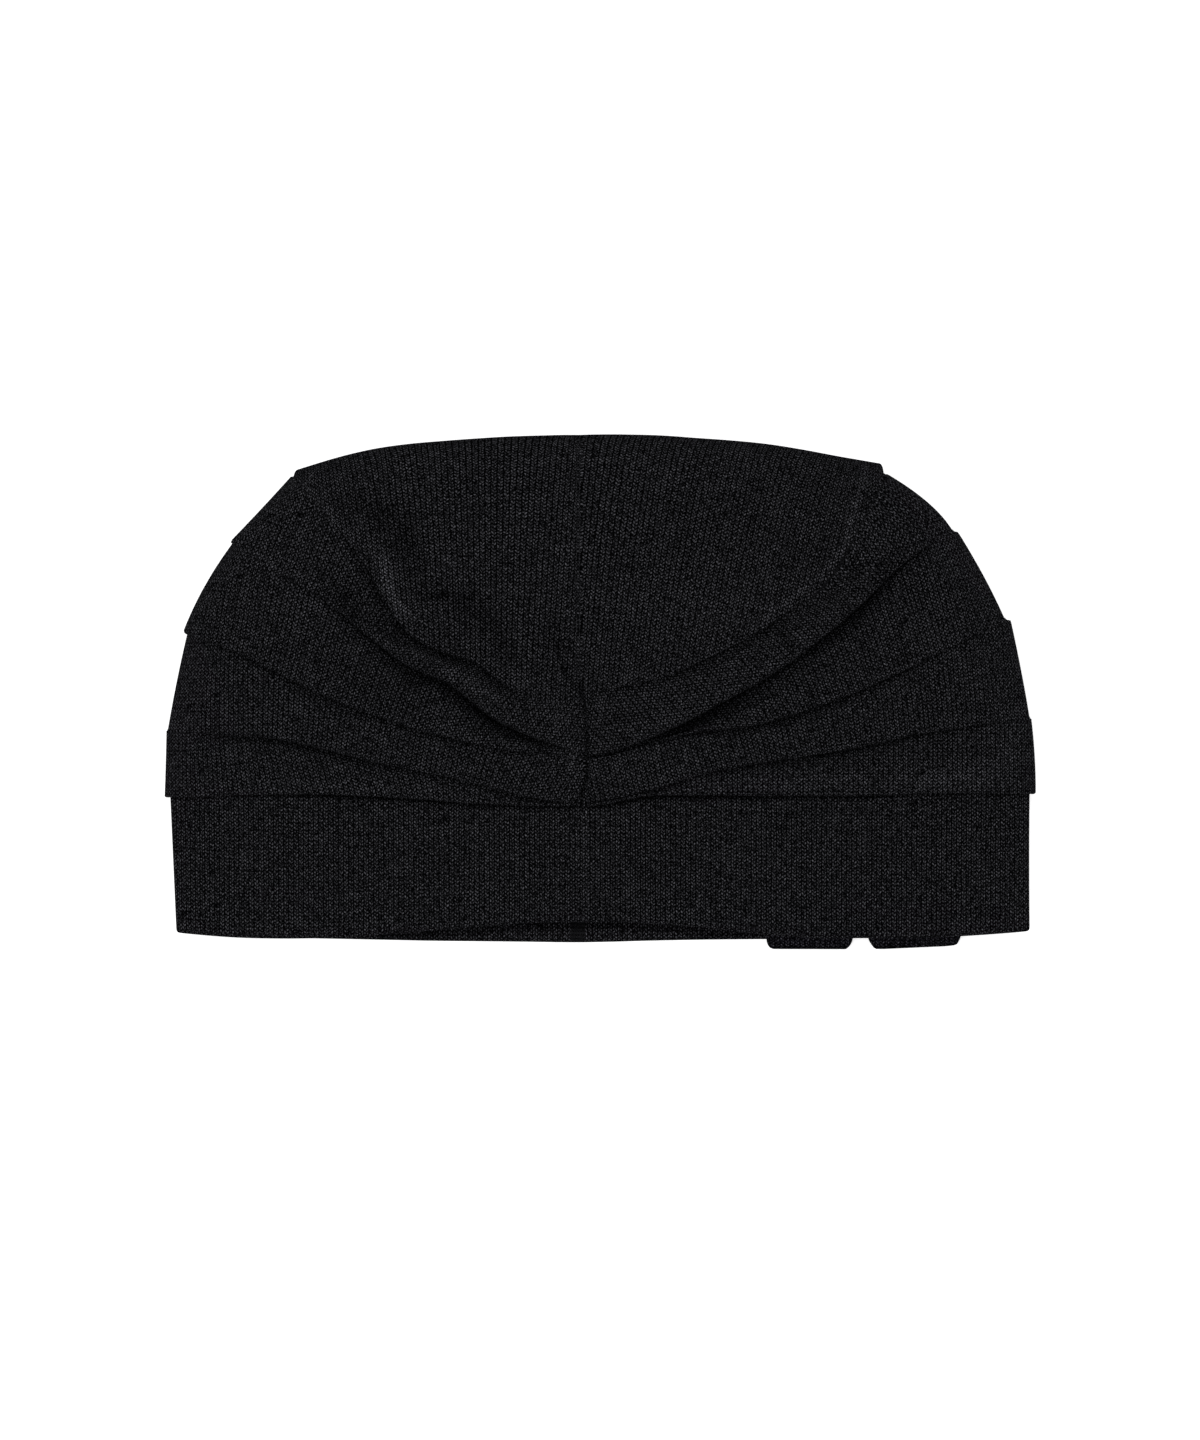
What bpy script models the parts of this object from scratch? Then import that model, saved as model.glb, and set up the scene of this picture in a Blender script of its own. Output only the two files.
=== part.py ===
"""A knitted turban beanie, lying on its back with its front up.

X runs across the hat, +Y runs from the hem to the crown, and +Z points up out of the front.
The hat lies on the floor at z = 0 and is open at the hem, towards -Y.
"""

import math
from collections import namedtuple

import bmesh
import bpy

# Sizes in metres
FLAT_WIDTH = 0.250          # across the widest pleat
BODY_HEIGHT = 0.145         # from the back of the hem to the top of the crown
MOUTH_LOFT = 0.023          # how far the front stands above the floor at the hem
CROWN_LOFT = 0.037          # how far it stands above the floor at the crown
EDGE_HEIGHT = 0.009         # height of the side edges and of the crown's top edge
EDGE_ROUND = 0.014          # how far in from the edges the back lies flat
BAND_CLOTH = 0.0020         # the headband, two layers of cloth
CROWN_CLOTH = 0.0020        # the crown between its pleats
PLEAT_ROOT = 0.0010         # how far the crown's outside stands off the band's, deep in a pleat
PLEAT_LIFT = 0.0028         # how far a pleat's lip stands off the band's outside
LIP_PROUD = 0.0022          # the same for the lowest pleat, over the band
BACK_PROUD = 0.0016         # the same for the whole crown on the back
PLEAT_TUCK = 0.0035         # how far a tier runs on beneath the pleat above it
PLEAT_SLIT = 0.0006         # the open slit under a pleat's lip
LIP_RADIUS = 0.0009         # rounding of a lip
LAP = 0.0050                # how far the band reaches up beneath the lowest pleat
LAP_STEP = 0.0006           # length of the step inside the crown above the band
CLEARANCE = 0.0003          # gap between pieces
SEAM_DIP = 0.0026           # how deep the front seam is drawn in
SEAM_SPREAD = 0.0075        # half width of that dip
TAB_CLOTH = 0.0008          # thickness of a label tab
TAB_PROUD = 0.0034          # how far a tab hangs out below the hem
TAB_INSIDE = 0.0190         # how far a tab runs up inside the band
TAB_CORNER = 0.0016         # the tabs' cut corners
LEFT_TAB_WIDTH = 0.0240
RIGHT_TAB_WIDTH = 0.0260

HALF_WIDTH = FLAT_WIDTH / 2
SEAM_SHIFT = -0.034         # the front seam's place, as a share of the half width
FRONT_ROUND = 2.3           # exponents of the front's cross-section, across and upwards
FRONT_RISE = 2.0
TOP_ROUND = 2.6             # exponent of the top panel's roll-off
PLAIN_STEP = 0.00025        # spacing of a fold's rows where it has faded out
EDGE_FROM = 0.92            # share of the way to the side edge where the outline's own steps begin
FOLD_RUN = 0.10             # share of the way over which a fold opens

# Where each table's heights are read, as shares of the way from the seam to the side edge
STATIONS = (0.0, 0.06, 0.14, 0.26, 0.42, 0.6, 0.8, 1.0)

# under: reach of the outline just below the fold, as a share of the half width
# over: reach of the fold's own lip; lift: how proud the lip stands on the front, over PLEAT_LIFT
# start: share of the way from the seam where the fold opens
# back: its height on the middle of the back; heights: on the front, at the stations
# All heights are shares of the body's height above the hem.
Fold = namedtuple("Fold", "under over lift start back heights")

LEFT_FOLDS = (
    Fold(0.981, 0.994, 1.00, 0.0, 0.288, (0.266, 0.267, 0.267, 0.268, 0.277, 0.287, 0.289, 0.287)),
    Fold(0.990, 0.987, 1.00, 0.12, 0.428, (0.273, 0.274, 0.281, 0.307, 0.335, 0.366, 0.402, 0.415)),
    Fold(0.944, 0.949, 1.00, 0.14, 0.622, (0.361, 0.362, 0.367, 0.379, 0.406, 0.464, 0.542, 0.608)),
    Fold(0.841, 0.844, 1.57, 0.02, 0.770, (0.367, 0.380, 0.398, 0.432, 0.513, 0.583, 0.694, 0.787)),
    Fold(0.712, 0.700, 1.00, 0.12, 0.880, (0.468, 0.466, 0.471, 0.497, 0.547, 0.610, 0.725, 0.910)),
)
RIGHT_FOLDS = (
    Fold(0.981, 0.995, 1.00, 0.0, 0.288, (0.266, 0.277, 0.291, 0.291, 0.286, 0.284, 0.288, 0.292)),
    Fold(0.985, 0.981, 1.00, 0.14, 0.428, (0.273, 0.284, 0.299, 0.328, 0.353, 0.379, 0.416, 0.439)),
    Fold(0.937, 0.920, 1.00, 0.22, 0.622, (0.361, 0.367, 0.386, 0.410, 0.431, 0.478, 0.555, 0.634)),
    Fold(0.816, 0.806, 1.57, 0.02, 0.770, (0.367, 0.374, 0.393, 0.424, 0.480, 0.566, 0.693, 0.803)),
    Fold(0.648, 0.642, 0.86, 0.04, 0.880, (0.468, 0.489, 0.502, 0.518, 0.561, 0.616, 0.727, 0.912)),
)

# Reach and height of the plain edges: the hem in front, the hem behind, and the crown's top edge
Edge = namedtuple("Edge", "reach heights")
FRONT_HEM = {
    "left": Edge(0.967, (0.034, 0.035, 0.031, 0.026, 0.015, 0.010, 0.012, 0.020)),
    "right": Edge(0.981, (0.034, 0.033, 0.026, 0.018, 0.012, 0.011, 0.013, 0.020)),
}
BACK_HEM = {
    "left": Edge(0.967, (0.002, 0.002, 0.002, 0.003, 0.004, 0.007, 0.012, 0.020)),
    "right": Edge(0.981, (0.002, 0.004, 0.006, 0.007, 0.008, 0.009, 0.012, 0.020)),
}
TOP_EDGE = {
    "left": Edge(0.680, (0.998, 0.998, 0.997, 0.995, 0.989, 0.980, 0.963, 0.935)),
    "right": Edge(0.639, (0.998, 0.999, 0.999, 0.997, 0.990, 0.981, 0.960, 0.935)),
}
FOLDS = {"left": LEFT_FOLDS, "right": RIGHT_FOLDS}
SIGN = {"left": -1.0, "right": 1.0}
LEVELS = len(LEFT_FOLDS) + 1    # level 0 is the hem, then the folds, and the top edge is the last
# how far each tier's outline swells between its folds, as a share of the half width, from the band up
SWELL = {"left": (0.0, 0.007, 0.002, 0.006, 0.003, 0.0), "right": (-0.003, 0.007, 0.005, 0.015, 0.020, 0.0)}

# Label tabs: centre is the share of the way from the hat's middle to its right edge
Tab = namedtuple("Tab", "name centre width")
TABS = (
    Tab("label_tab_left", 0.477, LEFT_TAB_WIDTH),
    Tab("label_tab_right", 0.718, RIGHT_TAB_WIDTH),
)

# Where the columns of faces stand, as shares of the way from the seam to the side edge
CROWN_COLUMNS = (0.0, 0.02, 0.045, 0.075, 0.11, 0.15, 0.20, 0.25, 0.31, 0.37, 0.43, 0.49,
                 0.55, 0.61, 0.67, 0.73, 0.79, 0.84, 0.885, 0.925, 0.955, 0.98, 0.995, 1.0)
BAND_COLUMNS = (0.0, 0.04, 0.09, 0.15, 0.23, 0.33, 0.44, 0.55, 0.66, 0.76, 0.84, 0.90, 0.95, 0.985, 1.0)


def smooth(low, high, value):
    """Rises from 0 at low to 1 at high."""
    t = min(max((value - low) / (high - low), 0.0), 1.0)
    return t * t * (3 - 2 * t)


def mix(a, b, share):
    return a + (b - a) * share


def at_station(heights, c):
    """The curve through a row's heights, read at c."""
    i = max(j for j in range(len(STATIONS) - 1) if STATIONS[j] <= c)
    slopes = []
    for j in (i, i + 1):
        low, high = max(j - 1, 0), min(j + 1, len(STATIONS) - 1)
        slopes.append((heights[high] - heights[low]) / (STATIONS[high] - STATIONS[low]))
    span = STATIONS[i + 1] - STATIONS[i]
    t = (c - STATIONS[i]) / span
    return ((2 * t**3 - 3 * t**2 + 1) * heights[i] + (t**3 - 2 * t**2 + t) * span * slopes[0]
            + (-2 * t**3 + 3 * t**2) * heights[i + 1] + (t**3 - t**2) * span * slopes[1])


def level_height(side, front, c, level):
    """Height above the hem line of a whole level: 0 the hem, 1 to 5 the folds, 6 the top edge."""
    if level == LEVELS:
        return BODY_HEIGHT * at_station(TOP_EDGE[side].heights, c) - PLEAT_ROOT
    if level == 0:
        hem = FRONT_HEM if front else BACK_HEM
        return BODY_HEIGHT * at_station(hem[side].heights, c)
    fold = FOLDS[side][level - 1]
    if front:
        return BODY_HEIGHT * at_station(fold.heights, c)
    return BODY_HEIGHT * mix(fold.back, fold.heights[-1], c * c)


def tab_bottom(tab):
    """Height of a label tab's lower edge above the hem line."""
    return level_height("right", False, tab.centre, 0) - TAB_PROUD


def middle_height():
    """Height of the middle of the hat's box above the hem line, where the frame's origin is."""
    top = max(level_height("right", True, c, LEVELS) for c in CROWN_COLUMNS) + PLEAT_ROOT
    return (top + min(tab_bottom(tab) for tab in TABS)) / 2


def level_reach(side, level):
    """How far the band's outside, carried on through the crown, reaches to the side at a level."""
    if level == 0:
        return HALF_WIDTH * FRONT_HEM[side].reach
    if level == LEVELS:
        return HALF_WIDTH * TOP_EDGE[side].reach - PLEAT_ROOT
    fold = FOLDS[side][level - 1]
    if level == 1:
        return HALF_WIDTH * fold.under
    return HALF_WIDTH * min(fold.under, fold.over) - PLEAT_ROOT


def edge_proud(side, level, over):
    """How far the crown's outline stands off that base at a fold, over or under its lip."""
    fold = FOLDS[side][level - 1]
    return HALF_WIDTH * (fold.over if over else fold.under) - level_reach(side, level)


def level_of(side, front, c, y):
    """The level, with its share of the way to the next one, at height y."""
    for level in range(LEVELS):
        low = level_height(side, front, c, level)
        high = level_height(side, front, c, level + 1)
        if y < high or level == LEVELS - 1:
            return level, min(max((y - low) / (high - low), 0.0), 1.0)


def base_point(side, front, c, y, proud):
    """A point that stands proud of the band's outside, carried on through the crown."""
    level, share = level_of(side, front, c, y)
    reach = mix(level_reach(side, level), level_reach(side, level + 1), share)
    reach += HALF_WIDTH * SWELL[side][level] * 4 * share * (1 - share)
    seam = SEAM_SHIFT * HALF_WIDTH
    span = reach - SIGN[side] * seam
    edge = EDGE_HEIGHT
    top = level_height(side, front, c, LEVELS)
    if front:
        loft = mix(MOUTH_LOFT, CROWN_LOFT, smooth(0.0, 0.6, y / BODY_HEIGHT)) - LIP_PROUD
        rise = (1 - c**FRONT_ROUND) ** (1 / FRONT_RISE)
        across = FRONT_ROUND * c ** (FRONT_ROUND - 1) / span
        upward = FRONT_RISE * rise ** (FRONT_RISE - 1) / (loft - edge)
        panel = level_height(side, front, c, LEVELS - 1)
        roll = min(max((y - panel) / (top - panel), 0.0), 1.0)
        fall = (1 - roll**TOP_ROUND) ** (1 / TOP_ROUND)
        dip = SEAM_DIP * smooth(0.27, 0.36, y / BODY_HEIGHT) * (1 - smooth(0.47, 0.62, y / BODY_HEIGHT))
        z = edge + (loft - edge) * rise * fall - dip * math.exp(-((c * span / SEAM_SPREAD) ** 2))
        endward = roll ** (TOP_ROUND - 1)
    else:
        flat = BACK_PROUD * smooth(0.14, 0.26, y / BODY_HEIGHT)
        inner = 1 - EDGE_ROUND / span
        turn = max((c - inner) / (1 - inner), 0.0)
        lie = math.sqrt(1 - min(turn, 1.0) ** 2)
        across = turn / EDGE_ROUND
        upward = -lie / edge
        panel = level_height(side, front, c, LEVELS - 1)
        curl = min(EDGE_ROUND, 0.6 * (top - panel))
        roll = min(max((y - top + curl) / curl, 0.0), 1.0)
        fall = math.sqrt(1 - roll * roll)
        z = edge - (edge - flat) * lie * fall
        endward = roll
    length = math.hypot(across, upward)
    sideways = across / length * fall
    vertical = upward / length * fall
    scale = proud / math.sqrt(sideways**2 + vertical**2 + endward**2)
    x = seam + SIGN[side] * (c * span + sideways * scale)
    return x, y + endward * scale - middle_height(), z + vertical * scale


def column_ring(columns):
    """(side, front, c) once around the hat, closed, starting at the front seam."""
    forward = list(columns)
    backward = forward[::-1]
    ring = [("right", True, c) for c in forward]
    ring += [("right", False, c) for c in backward[1:]]
    ring += [("left", False, c) for c in forward[1:]]
    ring += [("left", True, c) for c in backward[1:]]
    return ring


def fold_rows(side, front, c, level):
    """The rows of one fold, from the tier below it, under its lip and out onto the lip."""
    fold = FOLDS[side][level - 1]
    y = level_height(side, front, c, level)
    above = level_height(side, front, c, level + 1) - y
    opened = smooth(fold.start, fold.start + FOLD_RUN, c) if front else 0.0
    open_share = opened * (1 - smooth(EDGE_FROM - FOLD_RUN, 1.0, c))
    edge_share = smooth(EDGE_FROM, 1.0, c)
    calm = PLEAT_ROOT if front else BACK_PROUD
    under = mix(calm, edge_proud(side, level, False), edge_share)
    lifted = mix(calm, fold.lift * PLEAT_LIFT, opened)
    over = mix(lifted, edge_proud(side, level, True), edge_share)
    tuck = min(PLEAT_TUCK, 0.5 * above)
    step = min(PLAIN_STEP, 0.08 * above)
    slit = min(PLEAT_SLIT, 0.4 * max(over - under, 0.0))
    return (
        (y + mix(-2 * step, tuck, open_share), under),
        (y + mix(-step, tuck, open_share), under + mix(0.3 * (over - under), slit, open_share)),
        (y + mix(step, 0.0, open_share), mix(under, over, 0.65)),
        (y + mix(2 * step, min(LIP_RADIUS, 0.3 * above), open_share), over),
    )


def tier_rows(side, front, c, level):
    """The plain rows of the tier between a fold and the next level."""
    below = fold_rows(side, front, c, level)[-1] if level > 1 else rim_rows(side, front, c)[-1]
    if level + 1 < LEVELS:
        above = fold_rows(side, front, c, level + 1)[0]
        fold_y = level_height(side, front, c, level + 1)
        end = min(above[0], fold_y - 2 * min(PLAIN_STEP, 0.08 * (fold_y - below[0])))
        # the tier sinks towards the pleat that covers it
        shares = ((0.22, 0.96), (0.55, 0.78), (0.85, 0.36))
        return [(mix(below[0], end, s), mix(above[1], below[1], stay)) for s, stay in shares]
    top = level_height(side, front, c, LEVELS)
    calm = PLEAT_ROOT
    shares = (0.12, 0.28, 0.46, 0.64, 0.80, 0.91, 0.975, 1.0)
    return [(mix(below[0], top, s), mix(below[1], calm, smooth(0.0, 0.7, s))) for s in shares]


def rim_rows(side, front, c):
    """The crown's lower edge, from inside the lap round onto the lowest lip."""
    y = level_height(side, front, c, 1)
    calm = LIP_PROUD if front else BACK_PROUD
    proud = mix(calm, edge_proud(side, 1, True), smooth(EDGE_FROM, 1.0, c))
    above = level_height(side, front, c, 2) - y
    radius = min(LIP_RADIUS, 0.3 * above)
    return (
        (y, CLEARANCE),
        (y - 0.5 * LIP_RADIUS, mix(CLEARANCE, proud, 0.35)),
        (y - 0.5 * LIP_RADIUS, mix(CLEARANCE, proud, 0.75)),
        (y + radius, proud),
    )


def inner_rows(side, front, c):
    """The crown's inside, from its top edge down to the lap over the band."""
    lap_end = level_height(side, front, c, 1) + LAP + CLEARANCE
    top = level_height(side, front, c, LEVELS)
    inside = PLEAT_ROOT - CROWN_CLOTH
    start = lap_end + LAP_STEP
    shares = (1.0, 0.965, 0.90, 0.80, 0.66, 0.50, 0.34, 0.18, 0.0)
    rows = [(mix(start, top, s), inside) for s in shares]
    return rows + [(lap_end, CLEARANCE)]


def crown_rows(side, front, c):
    rows = inner_rows(side, front, c) + list(rim_rows(side, front, c))
    for level in range(1, LEVELS):
        if level > 1:
            rows += fold_rows(side, front, c, level)
        rows += tier_rows(side, front, c, level)
    return rows


def band_rows(side, front, c):
    """The headband, from its top edge outside, down round the hem and up inside."""
    hem = level_height(side, front, c, 0)
    top = level_height(side, front, c, 1) + LAP
    turn = BAND_CLOTH / 2
    outside = [(mix(hem + turn, top - turn / 2, s), 0.0) for s in (0.0, 0.3, 0.6, 0.85, 1.0)]
    inside = [(y, -BAND_CLOTH) for y, _ in reversed(outside)]
    top_edge = [(top, -0.25 * BAND_CLOTH), (top, -0.75 * BAND_CLOTH)]
    hem_edge = [(hem + rise * turn, -deep * BAND_CLOTH) for rise, deep in ((0.3, 0.85), (0.0, 0.5), (0.3, 0.15))]
    return outside + top_edge + inside + hem_edge + outside[:1]


def loft(name, ring, rows_of, colour):
    """A closed skin through one section a row, on a grid whose seams are then welded."""
    sections = [rows_of(*station) for station in ring]
    row_count = len(sections[0])
    bm = bmesh.new()
    bmesh.ops.create_grid(bm, x_segments=len(ring) - 1, y_segments=row_count - 1, size=1.0)
    for vert in bm.verts:
        column = round((vert.co.x + 1) / 2 * (len(ring) - 1))
        row = round((vert.co.y + 1) / 2 * (row_count - 1))
        vert.co = base_point(*ring[column], *sections[column][row])
    bmesh.ops.remove_doubles(bm, verts=bm.verts, dist=1e-6)
    bmesh.ops.recalc_face_normals(bm, faces=bm.faces)
    return finish(name, bm, colour)


def label_tab(spec, colour):
    """A flat woven tab that lies on the inside of the band's back and hangs out below the hem."""
    low = tab_bottom(spec)
    high = low + TAB_PROUD + TAB_INSIDE
    bm = bmesh.new()
    bmesh.ops.create_cube(bm, size=1.0)
    bmesh.ops.scale(bm, vec=(spec.width, high - low, TAB_CLOTH), verts=bm.verts)
    bottom = BAND_CLOTH + CLEARANCE
    middle = (spec.centre * HALF_WIDTH, (low + high) / 2 - middle_height(), bottom + TAB_CLOTH / 2)
    bmesh.ops.translate(bm, vec=middle, verts=bm.verts)
    corners = [e for e in bm.edges if abs(e.verts[0].co.z - e.verts[1].co.z) > TAB_CLOTH / 2
               and e.verts[0].co.y < middle[1]]
    bmesh.ops.bevel(bm, geom=corners, offset=TAB_CORNER, segments=3, profile=0.5, affect="EDGES", material=-1)
    return finish(spec.name, bm, colour)


def finish(name, bm, colour):
    mesh = bpy.data.meshes.new(name)
    bm.to_mesh(mesh)
    bm.free()
    mesh.shade_smooth()
    mesh.set_sharp_from_angle(angle=math.radians(50))
    material = bpy.data.materials.new(name)
    material.use_nodes = True
    shader = material.node_tree.nodes["Principled BSDF"]
    shader.inputs["Base Color"].default_value = colour
    shader.inputs["Roughness"].default_value = 0.95
    shader.inputs["Metallic"].default_value = 0.0
    mesh.materials.append(material)
    piece = bpy.data.objects.new(name, mesh)
    hat.objects.link(piece)
    return piece


for old in list(bpy.data.objects):
    bpy.data.objects.remove(old, do_unlink=True)
hat = bpy.data.collections.new("beanie")
bpy.context.scene.collection.children.link(hat)

KNIT_BLACK = (0.012, 0.012, 0.014, 1.0)
TAB_BLACK = (0.008, 0.008, 0.010, 1.0)

loft("crown", column_ring(CROWN_COLUMNS), crown_rows, KNIT_BLACK)
loft("headband", column_ring(BAND_COLUMNS), band_rows, KNIT_BLACK)
for spec in TABS:
    label_tab(spec, TAB_BLACK)
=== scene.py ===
"""The looks of a knitted turban beanie that lies on its back, seen from straight above."""

import math
from collections import namedtuple

import bmesh
import bpy
import numpy as np
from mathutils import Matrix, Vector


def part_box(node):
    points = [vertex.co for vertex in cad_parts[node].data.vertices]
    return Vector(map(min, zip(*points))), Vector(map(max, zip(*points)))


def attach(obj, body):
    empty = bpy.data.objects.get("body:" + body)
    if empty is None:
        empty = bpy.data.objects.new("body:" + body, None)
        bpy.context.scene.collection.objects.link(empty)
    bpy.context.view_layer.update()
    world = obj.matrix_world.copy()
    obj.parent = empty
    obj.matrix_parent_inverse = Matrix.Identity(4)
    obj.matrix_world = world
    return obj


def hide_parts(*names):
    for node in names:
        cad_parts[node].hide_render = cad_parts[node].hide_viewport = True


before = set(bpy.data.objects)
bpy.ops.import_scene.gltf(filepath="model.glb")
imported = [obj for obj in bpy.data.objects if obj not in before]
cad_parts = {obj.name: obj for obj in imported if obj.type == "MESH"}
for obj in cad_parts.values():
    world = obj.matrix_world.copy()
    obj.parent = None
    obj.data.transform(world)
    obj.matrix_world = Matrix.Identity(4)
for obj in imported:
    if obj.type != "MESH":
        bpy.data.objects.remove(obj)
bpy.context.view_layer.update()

# The crown
# One piece of fine black jersey, gathered into a seam at the middle of the front. Five folds fan out
# from the seam on each side, and each tier of cloth laps over the one below it like a roof tile.
# It is sewn over the headband's upper edge.

# Sizes in metres
HALF_WIDTH = 0.125
BODY_HEIGHT = 0.145
MOUTH_LOFT = 0.023
CROWN_LOFT = 0.037
EDGE_HEIGHT = 0.009
EDGE_ROUND = 0.014
CROWN_CLOTH = 0.0020
PLEAT_ROOT = 0.0010
LIP_PROUD = 0.0022
BACK_PROUD = 0.0016
PLEAT_TUCK = 0.0035
PLEAT_ROLL = 0.0011
LAP = 0.0050
CLEARANCE = 0.0003
SEAM_DIP = 0.0018
SEAM_SPREAD = 0.0075
PLAIN_STEP = 0.00025
INNER_SLACK = 0.0026
RIM_SHADE = 0.0040
SLIT_SHADE = 0.0007
DEEP_DIVE = 0.0025
MILLIMETRE = 0.001
# Painted shade: how dark the cloth is coloured in its hollows, where shade falls, and on the top rim,
# where 1 is plain
LAP_PAINTED_SHADE = 0.5
LOWER_LIP_PAINTED_SHADE = 0.35
DIVE_PAINTED_SHADE = 0.45
SLIT_EDGE_PAINTED_SHADE = 0.6
SLIT_PAINTED_SHADE = 0.2
ROLL_PAINTED_SHADE = 0.3
RIM_PAINTED_SHADE = 0.78
# How far the front seam lies from the middle, in half widths
SEAM_SHIFT = -0.034
# Powers that round the front's section and its top edge
FRONT_ROUND = 2.3
FRONT_RISE = 2.0
TOP_ROUND = 2.6
# Where on the way to the side edge the lips start to close, and how much sooner their slits do
EDGE_FROM = 0.92
SLIT_FADE = 0.10
# Heights, in shares of the body's: from where the front has its full loft, and between which the
# seam's dip comes in and goes out, and the crown's thicker back, its slack and its painted shade and
# highlights come in
FULL_LOFT = 0.6
DIP_IN = (0.27, 0.36)
DIP_OUT = (0.47, 0.62)
BACK_IN = (0.14, 0.26)
SLACK_IN = (0.315, 0.37)
PAINTED_SHADING_IN = (0.270, 0.285)
# Between which shares of the way to the side edge the slack outside and inside and the painted shade
# and highlights go out
SLACK_OUT = (0.80, 0.97)
INNER_SLACK_OUT = (0.7, 0.95)
PAINTED_SHADING_OUT = (0.93, 0.995)

# Rows of ten values are read at these shares of the way from the seam to the side edge. In every
# table the left side is -1 and the right side is 1.
STATIONS = (0.0, 0.06, 0.14, 0.26, 0.38, 0.50, 0.62, 0.74, 0.86, 1.0)
# A fold's reach below and over its lip, and its height behind and in front, are shares of the half
# width and of the body's height. In millimetres are how proud its lip stands off the headband's
# outside, how far the tier below dives under it, and over what distance.
Fold = namedtuple("Fold", "under over back heights lip dive gape")
LEFT_FOLDS = (
    Fold(0.981, 0.994, 0.288,
         (0.272, 0.272, 0.273, 0.277, 0.284, 0.290, 0.294, 0.294, 0.291, 0.286),
         (2.2, 2.4, 2.5, 2.4, 2.3, 2.2, 2.2, 2.1, 2.1, 2.2),
         (0.3, 0.4, 0.7, 0.9, 1.1, 1.1, 0.9, 0.4, 0.1, 0.1),
         (0.6, 0.7, 0.8, 0.8, 0.8, 0.8, 0.7, 0.6, 0.5, 0.5)),
    Fold(0.990, 0.987, 0.428,
         (0.2755, 0.276, 0.287, 0.312, 0.334, 0.353, 0.378, 0.399, 0.406, 0.416),
         (1.0, 1.8, 3.0, 2.6, 2.5, 2.8, 3.2, 3.2, 2.8, 1.7),
         (0.0, 0.1, 0.3, 0.3, 0.4, 0.9, 1.5, 1.5, 0.7, 0.1),
         (0.8, 1.0, 1.2, 1.0, 1.0, 1.2, 1.5, 1.4, 1.2, 1.0)),
    Fold(0.942, 0.953, 0.622,
         (0.361, 0.364, 0.371, 0.387, 0.409, 0.438, 0.472, 0.516, 0.563, 0.608),
         (1.0, 1.0, 1.7, 2.6, 2.8, 2.9, 3.0, 3.0, 2.5, 1.6),
         (0.0, 0.0, 0.2, 0.4, 0.6, 0.8, 0.9, 0.8, 0.5, 0.1),
         (0.8, 0.8, 0.8, 1.0, 1.2, 1.3, 1.4, 1.4, 1.2, 1.0)),
    Fold(0.838, 0.846, 0.770,
         (0.367, 0.381, 0.400, 0.439, 0.504, 0.541, 0.603, 0.672, 0.718, 0.787),
         (1.9, 2.6, 4.2, 5.0, 4.6, 4.2, 3.2, 2.0, 1.6, 1.4),
         (0.4, 0.6, 2.2, 2.6, 1.8, 1.7, 1.1, 0.3, 0.1, 0.0),
         (0.7, 0.9, 1.6, 2.2, 1.6, 2.2, 2.8, 1.6, 1.0, 0.8)),
    Fold(0.706, 0.700, 0.880,
         (0.468, 0.469, 0.478, 0.501, 0.549, 0.571, 0.615, 0.730, 0.824, 0.916),
         (1.0, 1.0, 1.2, 2.2, 3.2, 3.6, 3.0, 2.6, 1.6, 1.2),
         (0.0, 0.0, 0.0, 0.3, 0.9, 1.3, 0.5, 0.6, 0.1, 0.0),
         (0.8, 0.8, 0.9, 1.0, 1.0, 1.0, 0.8, 0.9, 0.8, 0.8)),
)
RIGHT_FOLDS = (
    Fold(0.981, 0.995, 0.288,
         (0.269, 0.277, 0.292, 0.293, 0.292, 0.291, 0.291, 0.295, 0.296, 0.293),
         (2.2, 2.4, 2.5, 2.4, 2.3, 2.2, 2.1, 2.1, 2.2, 2.2),
         (0.5, 1.1, 1.6, 1.6, 1.2, 0.8, 0.5, 0.3, 0.1, 0.1),
         (0.6, 0.8, 1.1, 1.0, 0.8, 0.8, 0.8, 0.6, 0.6, 0.5)),
    Fold(0.985, 0.981, 0.428,
         (0.273, 0.281, 0.297, 0.330, 0.350, 0.366, 0.384, 0.407, 0.423, 0.440),
         (1.0, 2.0, 2.4, 2.6, 3.0, 3.1, 3.1, 2.9, 2.4, 1.5),
         (0.0, 0.1, 0.2, 0.3, 0.8, 1.3, 1.3, 0.8, 0.4, 0.0),
         (0.8, 0.9, 0.9, 1.0, 1.3, 1.5, 1.5, 1.3, 1.1, 1.0)),
    Fold(0.937, 0.925, 0.622,
         (0.361, 0.367, 0.386, 0.412, 0.422, 0.448, 0.483, 0.526, 0.575, 0.634),
         (1.0, 1.0, 1.0, 2.5, 2.8, 2.9, 3.0, 3.0, 2.7, 1.9),
         (0.0, 0.0, 0.2, 0.9, 1.3, 1.2, 1.0, 0.7, 0.3, 0.1),
         (0.8, 0.8, 0.8, 1.2, 1.4, 1.4, 1.4, 1.2, 1.1, 1.0)),
    Fold(0.816, 0.806, 0.770,
         (0.367, 0.373, 0.391, 0.428, 0.473, 0.523, 0.584, 0.657, 0.741, 0.808),
         (1.9, 2.3, 2.9, 4.6, 5.0, 4.6, 4.6, 5.0, 3.4, 1.5),
         (0.4, 0.5, 0.9, 2.9, 2.6, 1.7, 2.0, 2.9, 1.1, 0.0),
         (0.7, 0.8, 1.1, 2.6, 3.0, 2.8, 2.8, 3.0, 1.6, 0.9)),
    Fold(0.656, 0.648, 0.880,
         (0.468, 0.491, 0.502, 0.518, 0.548, 0.583, 0.622, 0.680, 0.772, 0.921),
         (1.0, 1.9, 2.2, 2.3, 2.4, 2.3, 1.9, 1.4, 1.2, 1.2),
         (0.0, 0.2, 0.4, 0.3, 0.4, 0.4, 0.2, 0.0, 0.0, 0.0),
         (0.8, 0.8, 1.0, 1.0, 1.2, 1.2, 1.1, 0.8, 0.8, 0.8)),
)
FOLDS = {-1: LEFT_FOLDS, 1: RIGHT_FOLDS}
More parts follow.
